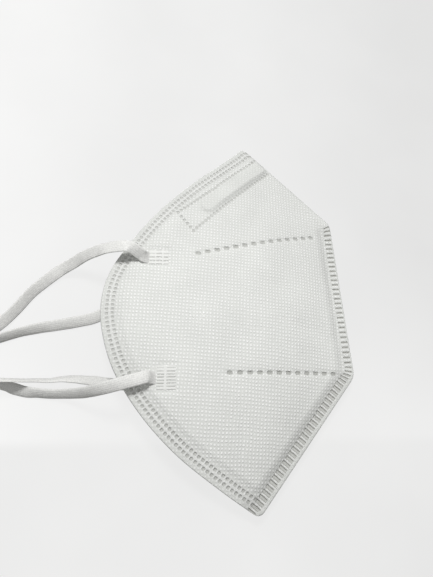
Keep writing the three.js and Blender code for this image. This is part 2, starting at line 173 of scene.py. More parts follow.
BAND = {
    "width": 4.8,
    "thickness": 0.85,
    "arch": {"right": (0.08, 0.4), "left": (0.3, 0.4)},  # of the first part and of the last part
    "ends": [(-33.2, 17.8), (-29.7, -30.4)],  # where it is welded down
    "sunk": 0.4,  # of its ends in the cloth
    "pressed": {"share": 0.35, "from": 0.8, "to": 3.2},  # thickness left near its ends
    "squareness": 0.6,
    "rings": 560,
    "sides": 28,
}
ROUTE_STEPS = 24  # between two points of a route
OUTWARDS = {"right": 1, "left": -1}  # the way in z that each panel faces

# ---- Relief of the cloth --------------------------------------------

# The left panel's hem is drawn in towards the chin: places along the face edge from the nose, how far
# it is drawn in at each, and which way.
HEM_SLIP = {"at": (108, 135, 190, 207), "by": (0, 0.7, 0.6, 0), "way": (0.57, 0.82), "reach": 9.0}

# What is pressed into the cloth or stands up from it, all in plan.
CLIP_RELIEF = {
    "height": 1.15,
    "half_width": 1.9,
    "flank": 2.1,
    "begins": 0.8,
    "end_share": 0.75,  # of its height at the clip's end
    "grows_over": 9,
    "fades": 4.0,  # towards the fold
}
HEM_PITS = {"rows": (2.45, 4.65), "pitch": 1.9, "half_size": 0.62, "depth": 0.3}

# Bars across the upper and the lower seam: how far from the seam they begin and end, and half their width.
SEAM_BARS = {"pitch": 2.17, "depth": 0.4, "upper": (0.9, 3.7), "lower": (1.75, 5.05)}
BAR_HALF_WIDTH = {"upper": 0.24, "lower": 0.6}

# Rows of marks: first mark, last mark, how many, and half their length and width.
DASH_ROWS = [
    ((-13.75, 20.58), (38.3, 33.9), 14, (1.15, 0.76)),
    ((-2.0, -28.4), (42.6, -27.3), 12, (1.12, 0.72)),
]
POCKET_DOT = (0.64, 0.64)
POCKET_DOT_ROWS = [
    ((-22.1, 40.2), (-5.6, 54.0), 13, POCKET_DOT),
    ((-4.3, 55.5), (14.3, 73.1), 14, POCKET_DOT),
    ((-20.8, 37.9), (-15.6, 31.1), 5, POCKET_DOT),
    ((-14.3, 32.5), (20.0, 65.9), 27, POCKET_DOT),
]
MARK_DEPTH = 0.28

# Slow waves of the cloth: their height, the lengths that divide x and y, and their phases in x and y.
WAVES = {
    "broad": {"height": 0.16, "lengths": (9.5, 12.5), "phases": (0.6, 1.1)},
    "slanting": {"height": 0.09, "lengths": (4.3, 6.1)},
}

# Soft dents and ridges: two ends of the line they follow, half their width, and height.
DENTS = [
    ((3.0, 14.5), (19.0, 8.3), 3.6, -0.25),
    ((30.0, -8.5), (43.5, -12.5), 3.4, -0.3),
    ((2.4, -43.9), (2.3, -57.0), 1.0, -0.12),
    ((-13.75, 20.58), (38.3, 33.9), 1.3, -0.2),
    ((-3.5, -28.45), (44.0, -27.25), 1.4, -0.26),
    ((-28.8, 30.1), (-15.2, 19.6), 1.6, 0.14),
]

# Weld patches of the bands: their blocks from x to x with the strength of their grooves, how far they
# reach in y, and the y and depth of their grooves.
WELDS = {
    "upper": {
        "blocks": [(-34.3, -31.3, 0.7), (-31.1, -28.5, 1.0), (-28.1, -25.4, 0.8)],
        "across": (14.3, 22.2),
        "grooves": [(21.5, 0.45), (19.8, 0.5), (18.2, 0.8), (16.6, 1.0), (15.0, 0.9)],
        "groove_half_width": 0.34,
    },
    "lower": {
        "blocks": [(-30.3, -26.9, 0.8), (-26.1, -22.1, 1.0)],
        "across": (-35.5, -25.3),
        "grooves": [
            (-25.8, 0.3), (-26.8, 0.3), (-28.1, 0.5), (-29.3, 0.9), (-30.3, 0.8),
            (-31.5, 1.0), (-32.6, 0.8), (-33.7, 0.5), (-34.9, 0.4),
        ],
        "groove_half_width": 0.27,
    },
}

PATCH = {
    "dip": 0.3,  # of the cloth under it and round it
    "dip_edge": (-0.6, 1.8),  # distances past its border between which the dip fades
    "rises": 0.2,
    "rim_sinks": 0.12,
    "bevel": 0.9,
    "groove": 0.3,
    "groove_ends": (0.1, 0.35),  # how far out of its block and into it a groove's end reaches
    "back_sinks": 0.35,
    "spacing": (0.14, 0.11),  # of its mesh in x and y
}

# ---- Patterns and colours -------------------------------------------

# Small raised dots of the cloth: half their width at the top and at the foot, and how far they wander
# out of line. Borders are between which distances each pressed border ends, and the share of the dots'
# height that is left in it.
LATTICE = {
    "pitch": (1.37, 1.39),
    "turn": 3.5,
    "half_width": (0.16, 0.56),
    "wander": 0.9,
    "borders": {"outline": (3.4, 4.2, 0.3), "edge": (4.6, 7.0, 0.55), "clip": (3.6, 5.0, 0.5)},
}
KNIT = {"wale": 0.78, "course": 0.7, "slant": 0.35}  # ribs and rows of the knitted bands

CLOTH = {
    "ground": (0.63, 0.64, 0.615, 1),
    "dot": (0.82, 0.82, 0.81, 1),
    "pit": (0.50, 0.505, 0.48, 1),
    "dash": (0.43, 0.435, 0.41, 1),
    # painted shade along the edges of the seams' bars
    "bar": (0.44, 0.44, 0.41, 1),
}
# Factors on the cloth's colour: the two seam factors are painted shade beside the seams, darker beside the
# lower one; the edge factor is painted light on the outermost half millimetre of the face edge; the hem and
# nose factors darken the hem and the part towards the nose.
CLOTH_TONE_AND_PAINTED_LIGHT = {"upper_seam": 0.94, "lower_seam": 0.89, "hem": 0.955, "nose": 0.9, "painted_edge_light": 1.3}
# The pressed factor darkens the bands near their welded ends: painted shade of the steep turn where each
# band dives into its patch, together with the greyer pressed elastic.
ELASTIC = {"groove": (0.66, 0.66, 0.642, 1), "loop": (0.735, 0.735, 0.715, 1), "pressed": 0.88}
WELD_COLOUR = {"bar": (0.7, 0.705, 0.685, 1), "groove": (0.33, 0.335, 0.31, 1)}
CLIP_COLOUR = {"dark": (0.5, 0.51, 0.52, 1), "light": (0.68, 0.69, 0.7, 1)}

# Heights of the fine relief that is bump.
CLOTH_BUMP = {"dots": 0.16, "grain": 0.05, "fibres": 0.04, "marks": -0.2}
ELASTIC_BUMP = {"loops": 0.05, "fuzz": 0.14}
WELD_BUMP = {"grain": 0.08, "groove": -0.1}
CLIP_BUMP = {"lines": 0.03}

# ---- Small helpers --------------------------------------------------


def lerp(a, b, t):
    return a + (b - a) * t


def smoothstep(x, low, high):
    t = np.clip((x - low) / (high - low), 0, 1)
    return t * t * (3 - 2 * t)


def reach(distance, length):
    """Rises from 0 towards 1 with distance, and is about 0.7 at the length given."""
    return distance / np.hypot(distance, length)


def unit(v):
    return v / np.linalg.norm(v, axis=-1, keepdims=True)


def arc_lengths(points):
    steps = np.linalg.norm(np.diff(points, axis=0), axis=1)
    return np.concatenate([[0], np.cumsum(steps)])


def points_along(line, at):
    """Points of a line at the given lengths along it."""
    length = arc_lengths(line)
    return np.stack([np.interp(at, length, line[:, k]) for k in range(line.shape[1])], 1)


def hermite(p1, p2, m1, m2, t):
    """Points of the cubic from p1 to p2 that leaves with slope m1 and arrives with slope m2."""
    cubic = (2 * p1 - 2 * p2 + m1 + m2) * t**3 + (3 * p2 - 3 * p1 - 2 * m1 - m2) * t**2
    return cubic + m1 * t + p1


def towards(a, b, distance):
    """The point at a distance from a on the way to b."""
    return a + (b - a) * (distance / np.linalg.norm(b - a))


def distance_to_line(p, line):
    """Distance in plan of each point of p from a line of points, and how far along the line it is."""
    flat = p.reshape(-1, 2)
    best = np.full(len(flat), np.inf)
    along = np.zeros(len(flat))
    for a, b, start in zip(line, line[1:], arc_lengths(line)):
        step = b - a
        t = np.clip((flat - a) @ step / (step @ step), 0, 1)
        away = flat - a - t[:, None] * step
        distance = np.hypot(away[:, 0], away[:, 1])
        nearer = distance < best
        along[nearer] = start + t[nearer] * np.linalg.norm(step)
        best[nearer] = distance[nearer]
    return best.reshape(p.shape[:-1]), along.reshape(p.shape[:-1])


def new_object(name, data):
    made = bpy.data.objects.new(name, data)
    bpy.context.scene.collection.objects.link(made)
    return made


def flat_grid(name, columns, rows, half_width):
    """A square grid with so many points each way."""
    bm = bmesh.new()
    bmesh.ops.create_grid(bm, x_segments=columns - 1, y_segments=rows - 1, size=half_width)
    mesh = bpy.data.meshes.new(name)
    bm.to_mesh(mesh)
    bm.free()
    return mesh


def closed_piece(name, points, attributes, material):
    """A piece from a grid of points in millimetres: borders that meet are merged, open ones filled."""
    rows, columns = points.shape[:2]
    mesh = flat_grid(name, columns, rows, 1)
    mesh.vertices.foreach_set("co", (points.reshape(-1, 3) * MM).astype(np.float32).ravel())
    for key, values in attributes.items():
        flat = np.asarray(values, np.float32).reshape(rows * columns, -1)
        kind, field = ("FLOAT", "value") if flat.shape[1] == 1 else ("FLOAT_VECTOR", "vector")
        mesh.attributes.new(key, kind, "POINT").data.foreach_set(field, flat.ravel())
    bm = bmesh.new()
    bm.from_mesh(mesh)
    bmesh.ops.remove_doubles(bm, verts=bm.verts, dist=1e-6)
    open_edges = [e for e in bm.edges if e.is_boundary]
    if open_edges:
        bmesh.ops.holes_fill(bm, edges=open_edges, sides=0)
    bmesh.ops.recalc_face_normals(bm, faces=bm.faces)
    bm.to_mesh(mesh)
    bm.free()
    mesh.shade_smooth()
    mesh.materials.append(material)
    return new_object(name, mesh)


# ---- Outline of the folded mask -------------------------------------

CORNER_STEPS = 8  # in each half of a rounded corner
FACE_EDGE_STEPS = 27  # between two points of the face edge


def corner_halves(before, corner, after, round_by):
    """A rounded corner as two lines that meet in its middle."""
    start, end = towards(corner, before, round_by), towards(corner, after, round_by)
    t = np.linspace(0, 1, 2 * CORNER_STEPS + 1)[:, None]
    bow = start * (1 - t) ** 2 + corner * 2 * t * (1 - t) + end * t**2
    return bow[: CORNER_STEPS + 1], bow[CORNER_STEPS:]


def outline():
    """The face edge, the fold and the two seams, each as a line of points from nose to chin."""
    face = np.array(FACE_EDGE)
    nose_face, nose_fold = corner_halves(face[0], NOSE, FOLD_END, TIP_ROUND)
    fold_last, upper_first = corner_halves(NOSE, FOLD_END, SEAM_CORNER, FOLD_END_ROUND)
    upper_last, lower_first = corner_halves(FOLD_END, SEAM_CORNER, CHIN, SEAM_CORNER_ROUND)
    chin_seam, chin_face = corner_halves(SEAM_CORNER, CHIN, face[-1], TIP_ROUND)
    ends = nose_face[:1], chin_face[-1:]
    p = np.vstack([ends[0], ends[0], face, ends[1], ends[1]])
    t = np.arange(FACE_EDGE_STEPS)[:, None] / FACE_EDGE_STEPS
    spans = [hermite(b, c, (c - a) / 2, (d - b) / 2, t) for a, b, c, d in zip(p, p[1:], p[2:], p[3:])]
    return {
        "face": np.vstack([nose_face[:0:-1], *spans, chin_face[::-1]]),
        "fold": np.vstack([nose_fold, fold_last]),
        "upper_seam": np.vstack([upper_first, upper_last]),
        "lower_seam": np.vstack([lower_first, chin_seam]),
    }


OUTLINE = outline()
FRONT = np.vstack([OUTLINE["fold"], OUTLINE["upper_seam"][1:], OUTLINE["lower_seam"][1:]])
FOLD_LENGTH = arc_lengths(OUTLINE["fold"])[-1]
CORNER_AT = FOLD_LENGTH + arc_lengths(OUTLINE["upper_seam"])[-1]  # of the corner between the seams
CLIP_LINE = np.array([CLIP_END, CLIP_END + CLIP_DIRECTION * 36])  # ends past the fold
CLIP_RELIEF_LINE = np.array([CLIP_END + CLIP_DIRECTION * CLIP_RELIEF["begins"], CLIP_LINE[1]])

# Rows of the panels run from the face edge to the fold and to each seam, six for each of its bars, and
# start in these shares of the face edge.
ROWS = {"fold": 180, "upper_seam": 194, "lower_seam": 183}
FACE_SHARES = {"fold": 0.333, "upper_seam": 0.317, "lower_seam": 0.35}
ROW_SLOPES = {"leaving": 1.08, "arriving": 0.6}  # in lengths of the straight way
ROW_STEPS = 240
AVERAGED_OVER = {"face": 3.0, "front": 16.0}  # half the stretch that sets a row's direction

# Columns: how many, and their spacing by distance from the face edge and from the front.
OUTER_FACE = {
    "columns": 132,
    "from_edge": ([0, 0.6, 1, 9, 14], [0.2, 0.25, 0.4, 0.4, 1]),
    "from_front": ([0, 0.9, 1.2, 5.5, 9], [0.12, 0.12, 0.32, 0.32, 1]),
}
INNER_FACE = {
    "columns": 28,
    "from_edge": ([0, 1, 12], [0.5, 1, 5]),
    "from_front": ([0, 1, 12], [0.5, 1, 5]),
}


def smooth_normals(line, turn, averaged_over):
    """Unit normals of an even line, to the side that turn gives, averaged over a stretch of it."""
    normal = unit(np.gradient(line, axis=0))[:, ::-1] * turn
    count = max(1, int(averaged_over / np.linalg.norm(line[1] - line[0])))
    padded = np.pad(normal, ((count, count), (0, 0)), "edge")
    kernel = np.hanning(2 * count + 3)[1:-1]
    return unit(np.stack([np.convolve(padded[:, k], kernel, "valid") for k in (0, 1)], 1))


def row_ends():
    """Each row's place along the front, and its start on the face edge and end on the front: two lists of
    points with the unit normals that the rows take there."""
    face_length = arc_lengths(OUTLINE["face"])[-1]
    face_at, front_at = [np.zeros(1)], [np.zeros(1)]
    for part, count in ROWS.items():
        t = np.arange(1, count + 1) / count
        face_at.append(face_at[-1][-1] + t * FACE_SHARES[part] * face_length)
        front_at.append(front_at[-1][-1] + t * arc_lengths(OUTLINE[part])[-1])
    face_at, front_at = np.concatenate(face_at), np.concatenate(front_at)
    ends = []
    for line, at, turn, averaged_over in (
        (OUTLINE["face"], face_at, (-1, 1), AVERAGED_OVER["face"]),
        (FRONT, front_at, (1, -1), AVERAGED_OVER["front"]),
    ):
        even = np.arange(0, arc_lengths(line)[-1], 0.25)
        normals = smooth_normals(points_along(line, even), turn, averaged_over)
        normal = unit(np.stack([np.interp(at, even, normals[:, k]) for k in (0, 1)], 1))
        ends.append((points_along(line, at), normal))
    return front_at, ends


def column_places(width, face):
    """Distances of a row's columns from the face edge: close together near both of its ends."""
    s = np.linspace(0, width, 400)
    spacing = np.minimum(np.interp(s, *face["from_edge"]), np.interp(width - s, *face["from_front"]))
    density = 1 / spacing
    passed = np.concatenate([[0], np.cumsum((density[1:] + density[:-1]) / 2)])
    return np.interp(np.linspace(0, passed[-1], face["columns"]), passed, s)


def plan_grid(ends, face):
    """Plan of one face of a panel: rows of points from the face edge to the front."""
    (start, leaving), (end, arriving) = ends
    t = np.linspace(0, 1, ROW_STEPS)[:, None]
    rows = []
    for a, b, out, back in zip(start, end, leaving, arriving):
        straight = np.linalg.norm(b - a)
        slopes = out * ROW_SLOPES["leaving"] * straight, -back * ROW_SLOPES["arriving"] * straight
        curve = hermite(a, b, *slopes, t)
        width = arc_lengths(curve)[-1]
        rows.append(points_along(curve, column_places(width, face)) if width else [a] * face["columns"])
    return np.array(rows)


# ---- Heights of the cloth -------------------------------------------


def distance_inside(p, a, b):
    """Distance from the line a-b, on the side that the mask is on."""
    along = unit(b - a)
    return np.maximum(0, (p[..., 0] - a[0]) * along[1] - (p[..., 1] - a[1]) * along[0])


def distances_at(p):
    """Distances in plan that the heights and the pressed marks follow."""
    upper_seam = distance_inside(p, FOLD_END, SEAM_CORNER)
    lower_seam = distance_inside(p, SEAM_CORNER, CHIN)
    edge, along_edge = distance_to_line(p, OUTLINE["face"])
    return {
        "edge": edge,
        "along_edge": along_edge,
        "outline": distance_to_line(p, FRONT)[0],
        "fold": distance_inside(p, NOSE, FOLD_END),
        "upper_seam": upper_seam,
        "lower_seam": lower_seam,
        "seam": np.minimum(upper_seam, lower_seam),
        "clip": distance_to_line(p, CLIP_LINE)[0],
        "clip_relief": distance_to_line(p, CLIP_RELIEF_LINE)[0],
        "past_clip_end": (p - CLIP_END) @ CLIP_DIRECTION,
    }


def crown_share(d):
    """Share of the crown: 0 on the fold and in the flange of the seams, less at the face edge."""
    upper = reach(np.maximum(0, d["upper_seam"] - FLANGE["width"]), CROWN_REACH["seam"])
    lower = reach(np.maximum(0, d["lower_seam"] - FLANGE["width"]), CROWN_REACH["seam"])
    closed = reach(d["fold"], CROWN_REACH["fold"]) * upper * lower
    return closed * lerp(MOUTH_SHARE, 1, reach(d["edge"], MOUTH_REACH))


def cloth_faces(d, crown, pocket_wall):
    """Heights of the outer and the inner face over the parting plane, before the relief."""
    hem = lerp(HEM["wall"], WALL, smoothstep(d["edge"], HEM["width"], HEM["width"] + BORDER_STEP))
    flange_end = FLANGE["width"] + BORDER_STEP
    flange = lerp(FLANGE["wall"], WALL, smoothstep(d["seam"], FLANGE["width"], flange_end))
    pocket = lerp(pocket_wall, 0, smoothstep(d["clip"], POCKET["inner"], POCKET["outer"]))
    wall = np.maximum(np.minimum(hem, flange), pocket)
    fold = lerp(FOLD["half"], 0, smoothstep(d["fold"], FOLD["round"], FOLD["pressed"]))
    outer = np.maximum(wall, np.minimum(fold, wall + d["seam"])) + crown * crown_share(d)
    opened = smoothstep(d["fold"], FOLD["round"], FOLD["pressed"])
    return outer, np.maximum(0, outer - wall) * opened


def rounded_off(distance, radius):
    """Rises from 0 to 1 as a quarter circle does."""
    return np.sqrt(1 - (1 - np.minimum(1, distance / radius)) ** 2)


def mark_row(p, first, last, count, half_size):
    """How far each point lies inside the nearest of a row of marks: 1 within it, 0 off it."""
    first, step = np.array(first), (np.array(last) - np.array(first)) / (count - 1)
    nearest = np.clip(np.round((p - first) @ step / (step @ step)), 0, count - 1)
    off = np.abs(p - first - nearest[..., None] * step) / half_size
    return 1 - smoothstep((off**4).sum(-1) ** 0.25, 0.6, 1.3)


def patch_box(weld):
    """Where a weld patch lies: its two ends in x and its two ends in y."""
    return (weld["blocks"][0][0], weld["blocks"][-1][1]), weld["across"]


def patch_share(p, weld):
    """1 over a band's weld patch, falling to 0 round it."""
    low, high = np.transpose(patch_box(weld))
    return 1 - smoothstep(np.maximum(low - p, p - high).max(-1), *PATCH["dip_edge"])


def soft_relief(p, d):
    """Slow unevenness of the cloth, its dents, the clip under it, and the dips at the weld patches."""
    broad, slanting = WAVES["broad"], WAVES["slanting"]
    relief = broad["height"] * np.cos(p / broad["lengths"] + broad["phases"]).prod(-1)
    x, y = np.moveaxis(p / slanting["lengths"], -1, 0)
    relief += slanting["height"] * np.cos(x - y)
    relief *= smoothstep(d["outline"], 4, 16) * smoothstep(d["edge"], 3, 12)
    for start, end, half_width, height in DENTS:
        away = distance_to_line(p, np.array([start, end]))[0]
        relief += height * np.exp(-((away / half_width) ** 2))
    flank = CLIP_RELIEF["half_width"] + CLIP_RELIEF["flank"]
    clip = CLIP_RELIEF["height"] * (1 - smoothstep(d["clip_relief"], CLIP_RELIEF["half_width"], flank))
    clip *= lerp(CLIP_RELIEF["end_share"], 1, smoothstep(d["past_clip_end"], 0, CLIP_RELIEF["grows_over"]))
    relief += clip * smoothstep(d["outline"], 0, CLIP_RELIEF["fades"])
    for weld in WELDS.values():
        relief -= PATCH["dip"] * patch_share(p, weld)
    return relief


def lower_share(front_at):
    """0 before the corner between the two seams, 1 after it."""
    return smoothstep(front_at, CORNER_AT - 3, CORNER_AT + 3)


def bar_half_width(front_at):
    """Half the width of the welded bars by place along the front: none on the fold."""
    upper = smoothstep(front_at, FOLD_LENGTH - 0.2, FOLD_LENGTH + 0.2) * BAR_HALF_WIDTH["upper"]
    return lerp(upper, BAR_HALF_WIDTH["lower"], lower_share(front_at))


def bar_ends(front_at):
    """Distances from the seam at which the welded bars begin and end."""
    share = lower_share(front_at)
    return [lerp(upper, lower, share) for upper, lower in zip(SEAM_BARS["upper"], SEAM_BARS["lower"])]


def hem_pit_depth(d):
    pitch = HEM_PITS["pitch"]
    along = np.abs((d["along_edge"] / pitch + 0.5) % 1 - 0.5) * pitch
    off = np.minimum(*(np.abs(d["edge"] - row) for row in HEM_PITS["rows"]))
    away = (along**4 + off**4) ** 0.25 / HEM_PITS["half_size"]
    return HEM_PITS["depth"] * (1 - smoothstep(away, 0.5, 1.3))


def seam_bar_depth(d, front_at):
    pitch = SEAM_BARS["pitch"]
    along = np.abs((front_at - FOLD_LENGTH) / pitch % 1 - 0.5) * pitch
    half = bar_half_width(front_at)
    first, last = bar_ends(front_at)
    bar = (1 - smoothstep(along, half - 0.1, half + 0.2)) * (half > 0.1)
    bar = bar * smoothstep(d["outline"], first - 0.2, first + 0.2)
    return SEAM_BARS["depth"] * bar * (1 - smoothstep(d["outline"], last - 0.2, last + 0.2))


def pressed_depth(p, d, front_at):
    """Depth of the pits, bars, dashes and dots."""
    depth = np.maximum(hem_pit_depth(d), seam_bar_depth(d, front_at))
    for row in DASH_ROWS + POCKET_DOT_ROWS:
        depth = np.maximum(depth, MARK_DEPTH * mark_row(p, *row))
    return depth


def smooth_max(a, b, blend):
    """The greater of two heights, rounded where they cross."""
    share = np.clip(0.5 + 0.5 * (a - b) / blend, 0, 1)
    return lerp(b, a, share) + blend * share * (1 - share)


def panel_heights(side, p, d, front_at):
    """Heights of the outer and the inner face of a panel over points in plan."""
    past_fold = smoothstep(front_at, FOLD_LENGTH - 4, FOLD_LENGTH + 4)
    closed = rounded_off(d["outline"], lerp(FOLD["round"], FLANGE["round"], past_fold))
    outer, _ = cloth_faces(d, CROWN[side], 0)
    full, inner = cloth_faces(d, CROWN[side], POCKET["wall"])
    raised = (HALF_GAP + outer + soft_relief(p, d)) * closed
    pressed = pressed_depth(p, d, front_at) * closed
    if side == "right":
        outer_z, inner_z = PARTING + raised - pressed, PARTING + inner
    else:
        lift = HEM_LIFT["height"] * np.maximum(0, 1 - d["edge"] / HEM_LIFT["reach"]) ** HEM_LIFT["power"]
        outer_z = smooth_max(PARTING - raised, lift, LYING_BLEND)
        inner_z = PARTING - np.maximum(0, PARTING - outer_z - (full - inner))
        outer_z = np.minimum(outer_z + pressed, PARTING)
    middle = (outer_z + inner_z) / 2
    half = (outer_z - inner_z) / 2 * rounded_off(d["edge"], HEM["round"])
    return middle + half, middle - half


def along_front(plan, front_at):
    """Place along the front of each point: its row's on the fold, its foot's on each of the seams."""
    by_row = np.broadcast_to(front_at[:, None], plan.shape[:2])
    on_upper = CORNER_AT + (plan - SEAM_CORNER) @ unit(SEAM_CORNER - FOLD_END)
    on_lower = CORNER_AT + (plan - SEAM_CORNER) @ unit(CHIN - SEAM_CORNER)
    place = lerp(by_row, on_upper, smoothstep(front_at, FOLD_LENGTH, FOLD_LENGTH + 5)[:, None])
    return lerp(place, on_lower, smoothstep(front_at, CORNER_AT - 5, CORNER_AT + 5)[:, None])


def slipped(plan, d):
    """Plan of the left panel, its hem drawn in towards the chin."""
    slip = np.interp(d["along_edge"], HEM_SLIP["at"], HEM_SLIP["by"])
    slip *= 1 - smoothstep(d["edge"], 1, HEM_SLIP["reach"])
    return plan + slip[..., None] * np.array(HEM_SLIP["way"])


def cloth_panel(side, outer_plan, inner_plan, front_at, material):
    """A panel as one shell: its rows run over the outer face to the front and back over the inner one. Its
    attributes "hem" and "front" hold the places that cloth_places names."""
    faces, hems, fronts = [], [], []
    for face, plan, columns in ((0, outer_plan, slice(None)), (1, inner_plan, slice(-2, None, -1))):
        d = distances_at(plan)
        along = along_front(plan, front_at)
        heights = panel_heights(side, plan, d, along)[face]
        place = slipped(plan, d) if side == "left" else plan
        hem = np.dstack([d["along_edge"], d["edge"], d["clip"]])
        front = np.dstack([along - FOLD_LENGTH, d["outline"], bar_half_width(along)])
        faces.append(np.dstack([place, heights])[:, columns])
        hems.append(hem[:, columns])
        fronts.append(front[:, columns])
    attributes = {"hem": np.hstack(hems), "front": np.hstack(fronts)}
    return closed_piece(f"{side}_cloth_panel", np.hstack(faces), attributes, material)


# ---- Materials ------------------------------------------------------


def node(tree, kind, inputs, output=0, **settings):
    """Adds a node, sets or links its inputs, and gives one of its outputs."""
    made = tree.nodes.new("ShaderNode" + kind)
    for key, value in settings.items():
        setattr(made, key, value)
    for key, value in inputs.items():
        if isinstance(value, bpy.types.NodeSocket):
            tree.links.new(value, made.inputs[key])
        else:
            made.inputs[key].default_value = value
    return made.outputs[output]


def calc(tree, operation, *values):
    """A Math node's result."""
    return node(tree, "Math", dict(enumerate(values)), operation=operation)


def vector_calc(tree, operation, *values, output=0):
    """A Vector Math node's result, which is a number if output is "Value"."""
    return node(tree, "VectorMath", dict(enumerate(values)), output=output, operation=operation)


def chain(tree, operation, values):
    """Takes all the values together, two at a time."""
    result = values[0]
    for value in values[1:]:
        result = calc(tree, operation, result, value)
    return result


def product(tree, *values):
    return chain(tree, "MULTIPLY", values)


def total(tree, *values):
    return chain(tree, "ADD", values)


def greatest(tree, *values):
    return chain(tree, "MAXIMUM", values)


def ramp(tree, value, low, high, to_low=0.0, to_high=1.0):
    """Goes smoothly from to_low to to_high while the value goes from low to high."""
    inputs = {"Value": value, "From Min": low, "From Max": high, "To Min": to_low, "To Max": to_high}
    return node(tree, "MapRange", inputs, interpolation_type="SMOOTHSTEP")


def fall(tree, value, low, high):
    """Goes smoothly from 1 to 0 while the value goes from low to high."""
    return ramp(tree, value, low, high, 1.0, 0.0)


def mix_colours(tree, share, a, b):
    return node(tree, "Mix", {"Factor": share, 6: a, 7: b}, output=2, data_type="RGBA")


def scaled(tree, vector, amount):
    """A vector, or a colour, times an amount."""
    return node(tree, "VectorMath", {0: vector, "Scale": amount}, operation="SCALE")


def noise(tree, place, scale, detail=2.0, roughness=0.5):
    inputs = {"Vector": place, "Scale": scale, "Detail": detail, "Roughness": roughness}
    return node(tree, "TexNoise", inputs)


def tone_of(tree, pattern, darkest, lightest):
    """A noise as a tone between two values."""
    return ramp(tree, pattern, 0.3, 0.7, darkest, lightest)


def square_distance(tree, a, b):
    """Distance from the middle of a mark that is the same all along a rounded square."""
    fourth = total(tree, calc(tree, "POWER", a, 4.0), calc(tree, "POWER", b, 4.0))
    return calc(tree, "POWER", fourth, 0.25)


def split(tree, vector):
    """The three parts of a vector."""
    parts = tree.nodes.new("ShaderNodeSeparateXYZ")
    tree.links.new(vector, parts.inputs[0])
    return parts.outputs


def millimetres(tree, turn=0.0):
    """Object coordinates in millimetres, turned about Z."""
    place = node(tree, "TexCoord", {}, output="Object")
    inputs = {"Vector": place, "Rotation": (0, 0, radians(turn)), "Scale": (1000, 1000, 1000)}
    return node(tree, "Mapping", inputs)


def attribute(tree, name, output="Vector"):
    return node(tree, "Attribute", {}, output=output, attribute_name=name)


def new_material(name, roughness, sheen=0.0):
    """A matt material, its node tree and its shader."""
    material = bpy.data.materials.new(name)
    material.use_nodes = True
    shader = material.node_tree.nodes["Principled BSDF"]
    shader.inputs["Roughness"].default_value = roughness
    shader.inputs["Sheen Weight"].default_value = sheen
    shader.inputs["Sheen Roughness"].default_value = 0.6
    shader.inputs["Specular IOR Level"].default_value = 0.25
    return material, material.node_tree, shader


def raise_surface(tree, shader, heights, **patterns):
    """Bump from patterns, each with its own height in millimetres."""
    height = total(tree, *(product(tree, patterns[name], heights[name]) for name in heights))
    bump = node(tree, "Bump", {"Height": height, "Strength": 1.0, "Distance": MM})
    tree.links.new(bump, shader.inputs["Normal"])


def mark_row_group():
    """A node group: 1 within each of a row of rounded marks, 0 off them. Places are in millimetres."""
    tree = bpy.data.node_groups.new("row of pressed marks", "ShaderNodeTree")
    for name in ("Place", "First", "Step", "Half Size"):
        tree.interface.new_socket(name, in_out="INPUT", socket_type="NodeSocketVector")
    tree.interface.new_socket("Last", in_out="INPUT", socket_type="NodeSocketFloat")
    tree.interface.new_socket("Mark", in_out="OUTPUT", socket_type="NodeSocketFloat")
    given = tree.nodes.new("NodeGroupInput").outputs
    away = vector_calc(tree, "SUBTRACT", given["Place"], given["First"])
    step = given["Step"]
    along = vector_calc(tree, "DOT_PRODUCT", away, step, output="Value")
    square = vector_calc(tree, "DOT_PRODUCT", step, step, output="Value")
    nearest = calc(tree, "ROUND", calc(tree, "DIVIDE", along, square))
    nearest = calc(tree, "MINIMUM", calc(tree, "MAXIMUM", nearest, 0.0), given["Last"])
    off = vector_calc(tree, "SUBTRACT", away, scaled(tree, step, nearest))
    off = vector_calc(tree, "DIVIDE", off, given["Half Size"])
    x, y, _ = split(tree, vector_calc(tree, "ABSOLUTE", off))
    mark = fall(tree, square_distance(tree, x, y), 0.75, 1.15)
    result = tree.nodes.new("NodeGroupOutput")
    tree.links.new(mark, result.inputs["Mark"])
    return tree


def marks(tree, group, place, row):
    """1 within each mark of a row, 0 off them."""
    first, last, count, half_size = row
    step = [(b - a) / (count - 1) for a, b in zip(first, last)]
    made = tree.nodes.new("ShaderNodeGroup")
    made.node_tree = group
    tree.links.new(place, made.inputs["Place"])
    made.inputs["First"].default_value = (*first, 0)
    made.inputs["Step"].default_value = (*step, 0)
    made.inputs["Half Size"].default_value = (*half_size, 1)
    made.inputs["Last"].default_value = count - 1
    return made.outputs["Mark"]


def cloth_places(tree):
    """Places on the cloth. A panel's attribute "hem" gives the place along its face edge and the distances
    from that edge and from the nose clip. Its attribute "front" gives the place along the front from the
    end of the fold, the distance from the front and half the width of the bars there."""
    at = {"object": millimetres(tree)}
    at.update(zip(("along_edge", "edge", "clip"), split(tree, attribute(tree, "hem"))))
    at.update(zip(("along_front", "outline", "bar"), split(tree, attribute(tree, "front"))))
    at["on_fold"] = fall(tree, at["bar"], 0.05, 0.2)
    return at


def hem_pits(tree, at):
    """1 in the pits of the two rows along the face edge, and less in those towards the nose."""
    along = calc(tree, "PINGPONG", at["along_edge"], HEM_PITS["pitch"] / 2)
    off = [calc(tree, "ABSOLUTE", calc(tree, "SUBTRACT", at["edge"], row)) for row in HEM_PITS["rows"]]
    away = square_distance(tree, along, calc(tree, "MINIMUM", *off))
    pits = fall(tree, calc(tree, "DIVIDE", away, HEM_PITS["half_size"]), 0.7, 1.2)
    return product(tree, pits, ramp(tree, at["along_edge"], 115, 160, 0.75, 1.0))


def pressed_marks(tree, at):
    """Shares of the pits along the hem and round the nose clip's pocket, and of the dashes."""
    group = mark_row_group()
    upper_dashes, lower_dashes = (marks(tree, group, at["object"], row) for row in DASH_ROWS)
    dashes = greatest(tree, product(tree, upper_dashes, 0.82), lower_dashes)
    dots = greatest(tree, *(marks(tree, group, at["object"], row) for row in POCKET_DOT_ROWS))
    return greatest(tree, hem_pits(tree, at), product(tree, dots, 0.75)), dashes


